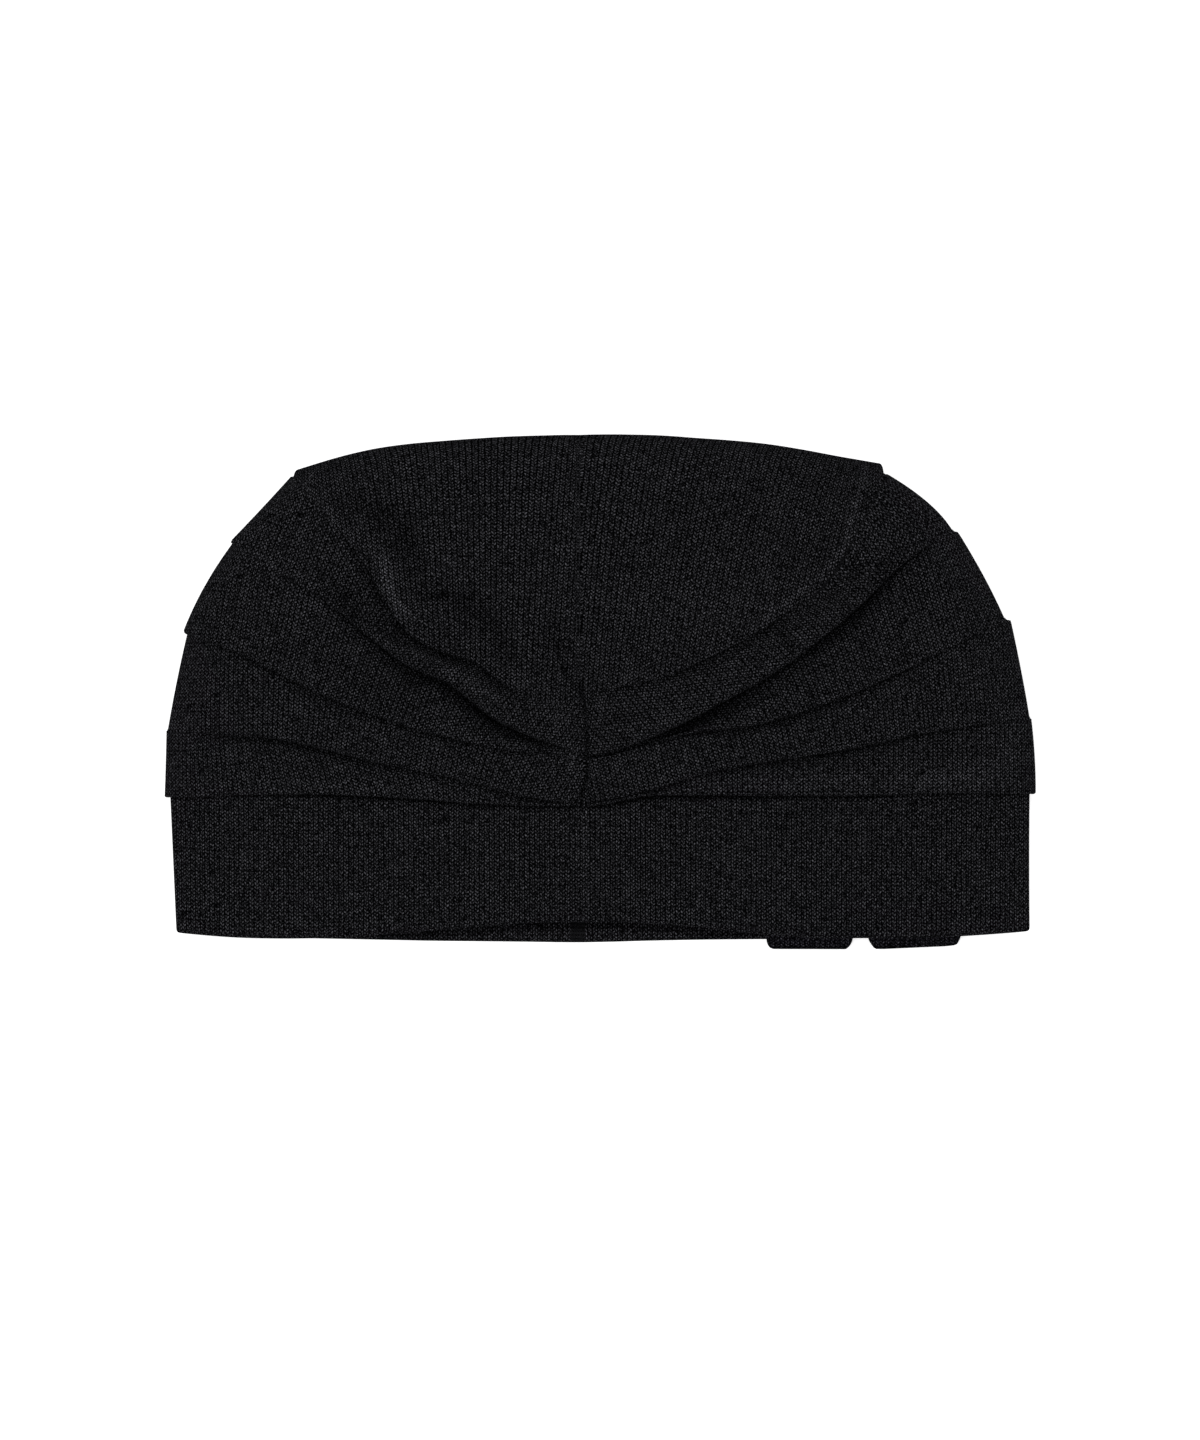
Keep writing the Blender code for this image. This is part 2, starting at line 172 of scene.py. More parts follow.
# The hem in front and the top edge: their reach in half widths, and their heights over the hem line in
# shares of the body's height. The hem behind reaches as far as in front, so only its heights are given.
Edge = namedtuple("Edge", "reach heights")
FRONT_HEM = {
    -1: Edge(0.967, (0.041, 0.041, 0.039, 0.032, 0.024, 0.016, 0.010, 0.008, 0.010, 0.018)),
    1: Edge(0.981, (0.041, 0.041, 0.038, 0.031, 0.018, 0.010, 0.009, 0.009, 0.013, 0.021)),
}
BACK_HEM = {
    -1: (-0.002, -0.002, -0.001, 0.000, 0.001, 0.003, 0.005, 0.007, 0.011, 0.018),
    1: (-0.002, -0.001, 0.001, 0.003, 0.004, 0.005, 0.006, 0.008, 0.014, 0.021),
}
TOP_EDGE = {
    -1: Edge(0.697, (0.998, 0.998, 0.997, 0.995, 0.991, 0.986, 0.980, 0.970, 0.954, 0.930)),
    1: Edge(0.646, (0.998, 0.999, 0.999, 0.997, 0.992, 0.987, 0.980, 0.969, 0.956, 0.942)),
}
# How far the sides of the headband and of the tiers over it swell out, from the lowest up, in half
# widths
SWELL = {-1: (0.0, -0.001, 0.002, 0.006, -0.002, 0.0), 1: (-0.001, 0.002, 0.0055, 0.008, 0.021, 0.0)}
LEVELS = len(LEFT_FOLDS) + 1
# Where height 0 lies: the top edge's highest point is at the top of the CAD's crown
HEM_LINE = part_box("crown")[1][1] - BODY_HEIGHT * max(TOP_EDGE[1].heights)

# The front seam's line: height as a share of the body's, its way off the straight in half widths,
# how deep its stitches draw the cloth in, in metres, and how dark it is coloured, painted shade in the
# seam's groove, where 1 is plain
Seam = namedtuple("Seam", "height off depth tone")
SEAM = (
    Seam(0.20, -0.004, 0.0000, 1.00), Seam(0.27, -0.010, 0.0004, 0.75),
    Seam(0.29, -0.006, 0.0008, 0.55), Seam(0.33, 0.004, 0.0011, 0.60),
    Seam(0.37, 0.006, 0.0011, 0.55), Seam(0.42, 0.003, 0.0007, 0.60),
    Seam(0.47, -0.001, 0.0007, 0.60), Seam(0.50, -0.010, 0.0007, 0.60),
    Seam(0.53, -0.014, 0.0, 1.00),
)
# How far from the seam, in metres, its way off the straight and its groove fade
SEAM_PULL = 0.014
SEAM_GROOVE = 0.0005

# Soft folds that the table of folds leaves out. The points run along a crease, in shares of the half
# width and of the body's height; depth and width are in millimetres, and a ridge has a depth below 0.
# The tone is how dark or pale the cloth is coloured along it, where 1 is plain: painted shade below 1
# and painted highlight above 1.
Crease = namedtuple("Crease", "depth width tone points")
CREASES = (
    Crease(0.8, 0.7, 0.50, ((-0.100, 0.605), (-0.080, 0.560), (-0.062, 0.525), (-0.042, 0.492))),
    Crease(0.6, 0.9, 0.62, ((-0.520, 0.728), (-0.512, 0.700), (-0.502, 0.672))),
    Crease(-1.2, 1.5, 2.20, ((-0.500, 0.770), (-0.488, 0.738), (-0.482, 0.712),
                             (-0.476, 0.688), (-0.460, 0.662), (-0.424, 0.638))),
    Crease(-0.2, 1.3, 1.15, ((-0.540, 0.785), (-0.515, 0.768), (-0.495, 0.752))),
    Crease(-0.4, 1.0, 1.60, ((-0.680, 0.905), (-0.630, 0.855), (-0.570, 0.790))),
    Crease(-0.5, 1.6, 1.45, ((-0.468, 0.598), (-0.404, 0.568), (-0.342, 0.536), (-0.216, 0.464))),
    Crease(-0.8, 1.6, 1.65, ((-0.212, 0.536), (-0.180, 0.513), (-0.152, 0.494))),
    Crease(0.6, 3.6, 0.58, ((-0.615, 0.870), (-0.520, 0.852), (-0.450, 0.808),
                            (-0.420, 0.750), (-0.415, 0.700))),
    Crease(0.5, 3.4, 0.55, ((-0.430, 0.678), (-0.350, 0.676), (-0.285, 0.658),
                            (-0.238, 0.612), (-0.200, 0.552))),
    Crease(0.5, 2.4, 0.76, ((-0.110, 0.640), (-0.085, 0.610), (-0.060, 0.560))),
    Crease(1.0, 3.4, 0.62, ((-0.605, 0.722), (-0.585, 0.688), (-0.560, 0.650), (-0.530, 0.618))),
    Crease(0.7, 3.4, 0.66, ((-0.46, 0.545), (-0.42, 0.525), (-0.37, 0.505),
                            (-0.31, 0.470), (-0.25, 0.440))),
    Crease(-0.4, 0.9, 1.70, ((0.375, 0.636), (0.416, 0.664), (0.473, 0.695),
                             (0.520, 0.735), (0.556, 0.782))),
    Crease(-0.4, 0.9, 1.80, ((0.540, 0.760), (0.562, 0.795), (0.572, 0.838), (0.612, 0.930))),
    Crease(-0.4, 1.3, 1.50, ((-0.860, 0.795), (-0.790, 0.765), (-0.720, 0.725))),
    Crease(-0.4, 2.2, 1.20, ((-0.700, 0.690), (-0.670, 0.660), (-0.640, 0.640))),
    Crease(-0.5, 1.5, 1.50, ((-0.085, 0.395), (-0.068, 0.375), (-0.066, 0.340))),
    Crease(-0.6, 1.8, 1.50, ((-0.100, 0.475), (-0.090, 0.440), (-0.092, 0.415))),
    Crease(0.0, 4.0, 0.88, ((-0.36, 0.560), (-0.28, 0.560), (-0.20, 0.545), (-0.15, 0.535))),
    Crease(0.0, 5.0, 1.12, ((0.05, 0.680), (0.15, 0.670), (0.30, 0.640), (0.42, 0.680))),
    Crease(0.0, 5.0, 0.90, ((0.12, 0.760), (0.20, 0.790), (0.28, 0.810))),
    Crease(0.3, 2.2, 0.72, ((0.020, 0.450), (0.045, 0.445), (0.070, 0.450))),
    Crease(0.3, 1.6, 0.72, ((0.035, 0.400), (0.045, 0.380), (0.060, 0.365))),
    Crease(-0.2, 2.6, 1.30, ((0.68, 0.318), (0.80, 0.325), (0.92, 0.330))),
    Crease(-0.2, 3.6, 1.30, ((0.85, 0.325), (0.91, 0.360), (0.96, 0.400), (0.975, 0.480))),
    Crease(-0.1, 3.0, 1.08, ((0.60, 0.500), (0.70, 0.530), (0.80, 0.570), (0.92, 0.640))),
    Crease(0.0, 2.4, 1.22, ((0.13, 0.303), (0.33, 0.312), (0.62, 0.312), (0.97, 0.320))),
    Crease(0.0, 2.0, 1.18, ((-0.98, 0.298), (-0.62, 0.300), (-0.20, 0.295))),
    Crease(0.0, 3.0, 1.20, ((-0.06, 0.288), (-0.05, 0.330), (-0.02, 0.380), (0.00, 0.410))),
    Crease(0.5, 2.6, 0.70, ((0.640, 0.690), (0.655, 0.735), (0.690, 0.790))),
    Crease(0.4, 3.5, 0.78, ((-0.62, 0.540), (-0.50, 0.490), (-0.40, 0.455))),
)
# How far the wales of each tier, from the lowest up, lean at the stations: in degrees, where above 0
# is like a slash
WALE_LEANS = {
    -1: ((10, 10, 12, 8, -10, -14, -14, -12, -6, 0),
         (30, 30, 27, 15, 11, 9, 7, 2, -2, 0),
         (38, 38, 38, 34, 24, 20, 18, 13, 8, 0),
         (40, 40, 40, 38, 38, 38, 34, 24, 20, 8),
         (4, 4, 3, 1, -1, -3, -5, -8, -11, -8)),
    1: ((-20, -20, -18, -4, 0, 0, 0, 0, 0, 0),
        (-12, -12, -13, -15, -15, -11, -7, -6, -4, -2),
        (-18, -18, -22, -29, -31, -28, -19, -17, -13, -5),
        (-40, -40, -40, -42, -42, -42, -40, -33, -27, -10),
        (4, 5, 7, 8, 10, 11, 12, 14, 16, 8)),
}
# Slack in the cloth, too wide to read as creases: the height and length of each wave in metres, its way
# and its start in radians
Wave = namedtuple("Wave", "height length turn start")
WAVES = (
    Wave(0.00024, 0.031, 0.35, 0.4), Wave(0.00018, 0.019, 1.25, 2.1),
    Wave(0.00013, 0.0123, 2.20, 4.0), Wave(0.00009, 0.0087, 0.85, 1.2),
)
WAVE_BEND = 1.3
WAVE_BEND_RATE = 1.7


def smooth(low, high, value):
    """0 up to low, 1 from high on, and eased between them."""
    t = np.clip((value - low) / (high - low), 0.0, 1.0)
    return t * t * (3 - 2 * t)


def mix(a, b, share):
    """From a at a share of 0 to b at 1."""
    return a + (b - a) * share


def station_curve(values, c):
    """The curve through a row of ten values, read at the shares c."""
    t, h = np.array(STATIONS), np.array(values, float)
    last = len(t) - 1
    ahead, behind = np.minimum(np.arange(last + 1) + 1, last), np.maximum(np.arange(last + 1) - 1, 0)
    slope = (h[ahead] - h[behind]) / (t[ahead] - t[behind])
    i = np.clip(np.searchsorted(t, c, side="right") - 1, 0, last - 1)
    span = t[i + 1] - t[i]
    s = (c - t[i]) / span
    return ((2 * s**3 - 3 * s**2 + 1) * h[i] + (s**3 - 2 * s**2 + s) * span * slope[i]
            + (-2 * s**3 + 3 * s**2) * h[i + 1] + (s**3 - s**2) * span * slope[i + 1])


def spaced(count, gap_at):
    """Shares from 0 to 1 whose spacing follows gap_at."""
    fine = np.linspace(0, 1, 4001)
    steps = np.concatenate(([0], np.cumsum(1 / gap_at(fine[1:]))))
    shares = np.interp(np.linspace(0, steps[-1], count), steps, fine)
    shares[-1] = 1.0
    return shares


def level_reach(side, level):
    """How far the band's outside, carried on through the crown, reaches to the side at a level."""
    if level == 0:
        return HALF_WIDTH * FRONT_HEM[side].reach
    if level == LEVELS:
        return HALF_WIDTH * TOP_EDGE[side].reach - PLEAT_ROOT
    fold = FOLDS[side][level - 1]
    if level == 1:
        return HALF_WIDTH * fold.under
    return HALF_WIDTH * min(fold.under, fold.over) - PLEAT_ROOT


# How close the columns lie at the side edges, where 1 is their usual gap, and between which shares of
# the way to the side edge they draw apart after the seam and close up at the edge
FRONT_EDGE_GAP = 0.22
BACK_EDGE_GAP = 0.12
SEAM_COLUMNS = (0.012, 0.12)
FRONT_EDGE_COLUMNS = (0.84, 1.0)
BACK_EDGE_COLUMNS = (0.80, 1.0)
# How much of its top panel the back may turn over at the top, as a share
BACK_CURL = 0.6


class Ring:
    """Columns once around the hat, closed, from the front seam to the right, behind and back."""

    def __init__(self, front_count, back_count, seam_gap):
        def front_gap(c):
            gap = mix(seam_gap, 1.0, smooth(*SEAM_COLUMNS, c))
            return mix(gap, FRONT_EDGE_GAP, smooth(*FRONT_EDGE_COLUMNS, c))

        def back_gap(c):
            return mix(1.0, BACK_EDGE_GAP, smooth(*BACK_EDGE_COLUMNS, c))

        front = spaced(front_count, front_gap)
        back = spaced(back_count, back_gap)
        self.c = np.concatenate((front, back[-2::-1], back[1:], front[-2::-1]))
        half = len(front) + len(back) - 1
        self.side = np.where(np.arange(len(self.c)) < half, 1, -1)
        self.front = np.ones(len(self.c), bool)
        self.front[len(front):len(self.c) - len(front) + 1] = False
        levels = range(LEVELS + 1)
        self.heights = [self.pick(lambda side: self.level_height(side, level)) for level in levels]
        self.reach = [self.pick(lambda side: level_reach(side, level)) for level in levels]
        self.swell = [self.pick(lambda side: SWELL[side][level]) for level in range(LEVELS)]

    def pick(self, of_side):
        """Each column's value: of_side(1) on the right and of_side(-1) on the left."""
        return np.where(self.side > 0, of_side(1), of_side(-1))

    def level_height(self, side, level):
        """Height above the hem line of level 0, the hem, 1 to 5, the folds, or 6, the top edge."""
        if level == LEVELS:
            return BODY_HEIGHT * station_curve(TOP_EDGE[side].heights, self.c) - PLEAT_ROOT
        if level == 0:
            fore = station_curve(FRONT_HEM[side].heights, self.c)
            behind = station_curve(BACK_HEM[side], self.c)
            return BODY_HEIGHT * np.where(self.front, fore, behind)
        fold = FOLDS[side][level - 1]
        behind = mix(fold.back, fold.heights[-1], self.c**2)
        return BODY_HEIGHT * np.where(self.front, station_curve(fold.heights, self.c), behind)

    def proud_at_edge(self, level, over):
        """How proud the cloth stands at the side edges, over a fold's lip or below it."""
        def of_side(side):
            fold = FOLDS[side][level - 1]
            return HALF_WIDTH * (fold.over if over else fold.under) - level_reach(side, level)
        return self.pick(of_side)

    def fold_row(self, level, field):
        """One of a fold's rows in millimetres, at each column, in metres."""
        def of_side(side):
            return station_curve(getattr(FOLDS[side][level - 1], field), self.c)
        return self.pick(of_side) * MILLIMETRE

    def reach_at(self, y):
        """How far the band's outside, carried on through the crown, reaches sideways at heights y."""
        level = sum((y >= self.heights[k]).astype(int) for k in range(1, LEVELS))
        low = np.choose(level, self.heights[:-1])
        high = np.choose(level, self.heights[1:])
        share = np.clip((y - low) / (high - low), 0, 1)
        reach = mix(np.choose(level, self.reach[:-1]), np.choose(level, self.reach[1:]), share)
        return reach + HALF_WIDTH * np.choose(level, self.swell) * 4 * share * (1 - share)

    def front_shape(self, y, span):
        """The front's height off the floor, its slopes across and upward, and its roll at the top."""
        c, share_up = self.c, y / BODY_HEIGHT
        top, panel = self.heights[LEVELS], self.heights[LEVELS - 1]
        loft = mix(MOUTH_LOFT, CROWN_LOFT, smooth(0.0, FULL_LOFT, share_up)) - LIP_PROUD
        rise = (1 - c**FRONT_ROUND) ** (1 / FRONT_RISE)
        across = FRONT_ROUND * c ** (FRONT_ROUND - 1) / span
        upward = FRONT_RISE * rise ** (FRONT_RISE - 1) / (loft - EDGE_HEIGHT)
        roll = np.clip((y - panel) / (top - panel), 0, 1)
        fall = (1 - roll**TOP_ROUND) ** (1 / TOP_ROUND)
        dip = SEAM_DIP * smooth(*DIP_IN, share_up) * (1 - smooth(*DIP_OUT, share_up))
        hollow = dip * np.exp(-((c * span / SEAM_SPREAD) ** 2))
        z = EDGE_HEIGHT + (loft - EDGE_HEIGHT) * rise * fall - hollow
        return z, across, upward, fall, roll ** (TOP_ROUND - 1)

    def back_shape(self, y, span):
        """The same for the back, which lies flat on the floor and turns up at its edges."""
        top, panel = self.heights[LEVELS], self.heights[LEVELS - 1]
        flat = BACK_PROUD * smooth(*BACK_IN, y / BODY_HEIGHT)
        inner = 1 - EDGE_ROUND / span
        turn = np.clip((self.c - inner) / (1 - inner), 0, 1)
        lie = np.sqrt(1 - turn**2)
        curl = np.minimum(EDGE_ROUND, BACK_CURL * (top - panel))
        roll = np.clip((y - top + curl) / curl, 0, 1)
        fall = np.sqrt(1 - roll**2)
        z = EDGE_HEIGHT - (EDGE_HEIGHT - flat) * lie * fall
        return z, turn / EDGE_ROUND, -lie / EDGE_HEIGHT, fall, roll

    def place(self, y, proud, relief=None):
        """Points at heights y that stand proud of the band's outside, and their painted shade and
        highlights.
        """
        seam = SEAM_SHIFT * HALF_WIDTH
        span = self.reach_at(y) - self.side * seam
        shapes = zip(self.front_shape(y, span), self.back_shape(y, span))
        z, across, upward, fall, endward = (np.where(self.front, *pair) for pair in shapes)
        length = np.hypot(across, upward)
        sideways = across / length * fall
        vertical = upward / length * fall
        scale = proud / np.sqrt(sideways**2 + vertical**2 + endward**2)
        x = seam + self.side * (self.c * span + sideways * scale)
        points = np.stack((x, y + endward * scale + HEM_LINE, z + vertical * scale), axis=1)
        if relief is None:
            return points, np.ones(len(y))
        return points, self.draw_in(points, y, self.c * span, fall, relief)

    def draw_in(self, points, y, from_seam, fall, relief):
        """Moves the front's points by the soft folds and seam stitches, and gives their painted shade
        and highlights.
        """
        calm = self.front * (1 - smooth(*SLACK_OUT, self.c)) * fall
        lift, tone = relief(points[:, 0], y)
        heights, *fields = zip(*SEAM)
        off, depth, dark = (np.interp(y / BODY_HEIGHT, heights, values) for values in fields)
        groove = np.exp(-((from_seam / SEAM_GROOVE) ** 2))
        points[:, 2] += (lift - depth * groove) * calm
        points[:, 0] += off * HALF_WIDTH * np.exp(-((from_seam / SEAM_PULL) ** 2)) * self.front
        # The creases' painted shade and highlights fade out towards the side edges
        reach_out = self.front * (1 - smooth(*PAINTED_SHADING_OUT, self.c))
        # Painted shade along the seam's groove
        return mix(1.0, tone, reach_out) * mix(1.0, dark, groove * self.front)


def cloth_relief(x, y):
    """How far soft folds and slack lift the crown's cloth, and its painted shade and highlights, at x
    and at y over the hem.
    """
    lift = np.zeros(len(x))
    tone = np.ones(len(x))
    for crease in CREASES:
        points = np.array(crease.points) * (HALF_WIDTH, BODY_HEIGHT)
        near = np.full(len(x), 1.0)
        along = np.zeros(len(x))
        for i in range(len(points) - 1):
            step = points[i + 1] - points[i]
            dx, dy = x - points[i, 0], y - points[i, 1]
            t = np.clip((dx * step[0] + dy * step[1]) / step.dot(step), 0, 1)
            gap = np.hypot(dx - t * step[0], dy - t * step[1])
            along = np.where(gap < near, (i + t) / (len(points) - 1), along)
            near = np.minimum(near, gap)
        tapered = np.sqrt(np.sin(np.pi * np.clip(along, 0.03, 0.97)))
        strength = np.exp(-((near / (crease.width * MILLIMETRE)) ** 2)) * tapered
        lift -= crease.depth * MILLIMETRE * strength
        # Painted shade along the creases and painted highlight along the ridges
        tone *= mix(1.0, crease.tone, strength)
    for wave in WAVES:
        run = (x * math.cos(wave.turn) + y * math.sin(wave.turn)) / wave.length * 2 * math.pi
        bend = WAVE_BEND * np.sin(y / wave.length * WAVE_BEND_RATE)
        lift += wave.height * np.sin(run + wave.start + bend)
    lift *= smooth(*SLACK_IN, y / BODY_HEIGHT)
    return lift, mix(1.0, tone, smooth(*PAINTED_SHADING_IN, y / BODY_HEIGHT))


# A row of points round the cloth: its heights, how proud it stands, the tier that it belongs to,
# and how dark or pale it is coloured, mostly painted shade and painted light
Row = namedtuple("Row", "y proud tier tone")

# How many rows run inside the crown, round its lower lip, round a fold's lip, and up each tier
INSIDE_ROWS = 14
TURN_ROWS = 8
ROLL_ROWS = 9
TIER_ROWS = (30, 34, 34, 38, 84)
# The radius of a fold's rolled lip and the height of the slit's floor, as shares of the gap there
ROLL_SHARE = 0.46
FLOOR_SHARE = 0.08
# What a tuck, a plain step and a roll take at most, as shares of the tier's height
MOST_TUCK = 0.5
MOST_STEP = 0.05
MOST_ROLL = 0.3
# In metres: how far over the lap and below the top the slack inside is full, the least height over
# which a tier dives, and between which gaps under a fold its slit opens
SLACK_LOW = 0.012
SLACK_HIGH = 0.016
LEAST_GAPE = 0.0008
SLIT_OPENS = (0.0004, 0.0013)


def inside_rows(ring):
    """The crown's inside, from its top edge down to the lap, and the lap on the headband."""
    top = ring.heights[LEVELS]
    lap_end = ring.heights[1] + LAP + CLEARANCE
    everywhere = np.ones(len(ring.c))
    slack = INNER_SLACK * ring.front * (1 - smooth(*INNER_SLACK_OUT, ring.c))
    rows = []
    for s in 1 - np.linspace(0, 1, INSIDE_ROWS) ** 1.4:
        y = mix(lap_end + 2 * CLEARANCE, top, s)
        away = smooth(0.0, SLACK_LOW, y - lap_end) * smooth(0.0, SLACK_HIGH, top - y)
        rows.append(Row(y, PLEAT_ROOT - CROWN_CLOTH - slack * away, 0, 1.0))
    # Painted shade on the lap under the crown's lower lip
    for s in (1.0, 0.6, 0.2):
        rows.append(Row(mix(ring.heights[1], lap_end, s), everywhere * CLEARANCE, 0, LAP_PAINTED_SHADE))
    return rows


def lip_of(ring, level):
    """How proud a fold's lip stands, all round the hat."""
    proud = np.where(ring.front, ring.fold_row(level, "lip"), BACK_PROUD)
    return mix(proud, ring.proud_at_edge(level, True), smooth(EDGE_FROM, 1.0, ring.c))


def lower_lip_rows(ring):
    """Round the crown's lower lip, from the headband outwards."""
    over = lip_of(ring, 1)
    radius = (over - CLEARANCE) / 2
    rows = []
    # Painted shade where the lower lip tucks in against the headband
    for a in np.linspace(0, math.pi, TURN_ROWS):
        tone = mix(LOWER_LIP_PAINTED_SHADE, 1.0, smooth(0.3, 1.6, a))
        y = ring.heights[1] - radius * math.sin(a) * 0.8 + CLEARANCE
        rows.append(Row(y, over - radius * (1 + math.cos(a)), 1, tone))
    return rows


def fold_rows(ring, level, low):
    """One tier, from low up into the gap under the fold above it, and round that fold's lip."""
    above = ring.heights[level + 1]
    height = ring.heights[level + 2] - above
    over, next_over = lip_of(ring, level), lip_of(ring, level + 1)
    edge = smooth(EDGE_FROM, 1.0, ring.c)
    under = np.where(ring.front, PLEAT_ROOT, BACK_PROUD)
    under = mix(under, ring.proud_at_edge(level + 1, False), edge)
    dive = ring.fold_row(level + 1, "dive") * ring.front * (1 - edge)
    gape = np.maximum(ring.fold_row(level + 1, "gape"), LEAST_GAPE)
    gap = np.maximum(next_over - under + dive, 0)
    turned = smooth(*SLIT_OPENS, gap) * ring.front
    turned = turned * (1 - smooth(EDGE_FROM - SLIT_FADE, 1.0, ring.c))
    tuck = np.minimum(PLEAT_TUCK, MOST_TUCK * height)
    step = np.minimum(PLAIN_STEP, MOST_STEP * height)
    end = np.minimum(above - 3 * step, mix(low, above, 0.98))
    rows = []
    for t in np.linspace(0, 1, TIER_ROWS[level - 1] + 1)[1:]:
        s = mix(t, t * t * (3 - 2 * t), 0.75)
        y = mix(low, end, s)
        depth = np.exp(-(((above - y) / gape) ** 2))
        at_slit = np.exp(-(((above - y) / SLIT_SHADE) ** 2))
        # Painted shade where the tier dives under the fold above, and along the slit's edge
        shade = mix(1.0, DIVE_PAINTED_SHADE, np.clip(dive / DEEP_DIVE, 0, 1) * depth)
        shade = shade * mix(1.0, SLIT_EDGE_PAINTED_SHADE, turned * at_slit)
        rows.append(Row(y, mix(under, over, 1 - s**2.2) - dive * depth, level, shade))
    deep = under - dive
    slit = deep + FLOOR_SHARE * gap
    # Painted shade inside the slit under the fold
    dark = mix(1.0, SLIT_PAINTED_SHADE, turned)
    rows.append(Row(mix(above - 2 * step, above + 0.5 * tuck, turned), deep, level, dark))
    rows.append(Row(mix(above - 1.5 * step, above + tuck, turned), deep, level, dark))
    for back, up, share in ((1.0, 1.0, 0.3), (0.5, 0.5, 0.5)):
        y = mix(above - back * step, above + up * tuck, turned)
        rows.append(Row(y, mix(deep + share * gap, slit, turned), level + 1, dark))
    roll = np.minimum(np.minimum(ROLL_SHARE * gap, PLEAT_ROLL), MOST_ROLL * height)
    # Painted shade where the fold's rolled lip turns into the slit
    for part in np.arange(ROLL_ROWS) / (ROLL_ROWS - 1):
        a = math.pi * part
        closed_y = above + step * part * 3
        closed = mix(deep, next_over, 0.6 + 0.4 * part)
        open_y = above + roll * (1 - math.sin(a))
        opened = next_over - ROLL_SHARE * gap * (1 + math.cos(a))
        shade = mix(1.0, mix(ROLL_PAINTED_SHADE, 1.0, smooth(0.2, 1.7, a)), turned)
        y = mix(closed_y, open_y, turned)
        rows.append(Row(y, mix(closed, opened, turned), level + 1, shade))
    return rows


def top_panel_rows(ring, low):
    """The top panel, from low up to the top edge, where it meets the inside's first row."""
    top = ring.heights[LEVELS]
    over = lip_of(ring, LEVELS - 1)
    rows = []
    # Painted shade on the top rim
    for t in np.linspace(0, 1, TIER_ROWS[-1] + 1)[1:]:
        s = mix(t, 1 - (1 - t) ** 1.6, t)
        y = mix(low, top, s)
        rim = mix(1.0, RIM_PAINTED_SHADE, smooth(RIM_SHADE, 0.0, top - y))
        rows.append(Row(y, mix(over, PLEAT_ROOT, smooth(0.0, 0.55, s)), LEVELS - 1, rim))
    return rows


def crown_rows(ring):
    """The crown's rows, from the inside of its top edge down to the lap, round and up outside."""
    rows = inside_rows(ring) + lower_lip_rows(ring)
    low = ring.heights[1] + CLEARANCE
    for level in range(1, LEVELS - 1):
        rows += fold_rows(ring, level, low)
        low = rows[-1].y
    return rows + top_panel_rows(ring, low)


def crown_lip_row(tier):
    """Which of a tier's rows its cloth is measured from: the one on its lip, or on the lap inside."""
    if tier == 0:
        return -1
    if tier == 1:
        return TURN_ROWS - 1
    return ROLL_ROWS + 1


# Over how many columns to each side the leans are evened out
LEAN_SPREAD = 5


def wale_lean(ring, tier):
    """How far a tier's wales lean at each column, in radians, where above 0 is like a backslash."""
    lean = ring.pick(lambda side: station_curve(WALE_LEANS[side][tier - 1], ring.c)) * ring.front
    window = 2 * LEAN_SPREAD + 1
    padded = np.pad(lean, LEAN_SPREAD, mode="edge")
    return -np.radians(np.convolve(padded, np.ones(window) / window, mode="valid"))


def cloth_map(ring, points, tiers, lip_row_of):
    """Where each point lies on the flat cloth in metres, along the courses and up the wales."""
    count = len(ring.c)
    grain = np.zeros((len(points), count, 2))
    for tier in np.unique(tiers):
        here = np.flatnonzero(tiers == tier)
        lip = here[lip_row_of(tier)] if lip_row_of else here[0]
        steps = np.diff(points[lip], axis=0)
        ahead = np.hypot(steps[:, 0], steps[:, 2])
        lean = wale_lean(ring, tier) if lip_row_of and tier else np.zeros(count)
        between = (lean[1:] + lean[:-1]) / 2
        run = np.concatenate(([0], np.cumsum(np.cos(between) * ahead + np.sin(between) * steps[:, 1])))
        rise = np.concatenate(([0], np.cumsum(np.cos(between) * steps[:, 1] - np.sin(between) * ahead)))
        run = np.where(ring.side > 0, run, run - run[-1])
        rise = np.where(ring.side > 0, rise, rise - rise[-1]) * bool(lip_row_of)
        along = np.gradient(points[lip], axis=0)
        flat = along[:, 0] / np.maximum(np.hypot(along[:, 0], along[:, 2]), 1e-9)
        path = np.diff(points[here], axis=0)
        start = np.zeros((1, count))
        aside = np.concatenate((start, np.cumsum(path[:, :, 0] * flat, axis=0)))
        climb = np.concatenate((start, np.cumsum(np.hypot(path[:, :, 1], path[:, :, 2]), axis=0)))
        aside -= aside[lip - here[0]]
        climb -= climb[lip - here[0]]
        grain[here, :, 0] = run + aside * np.cos(lean) + climb * np.sin(lean)
        grain[here, :, 1] = rise - aside * np.sin(lean) + climb * np.cos(lean)
    return grain


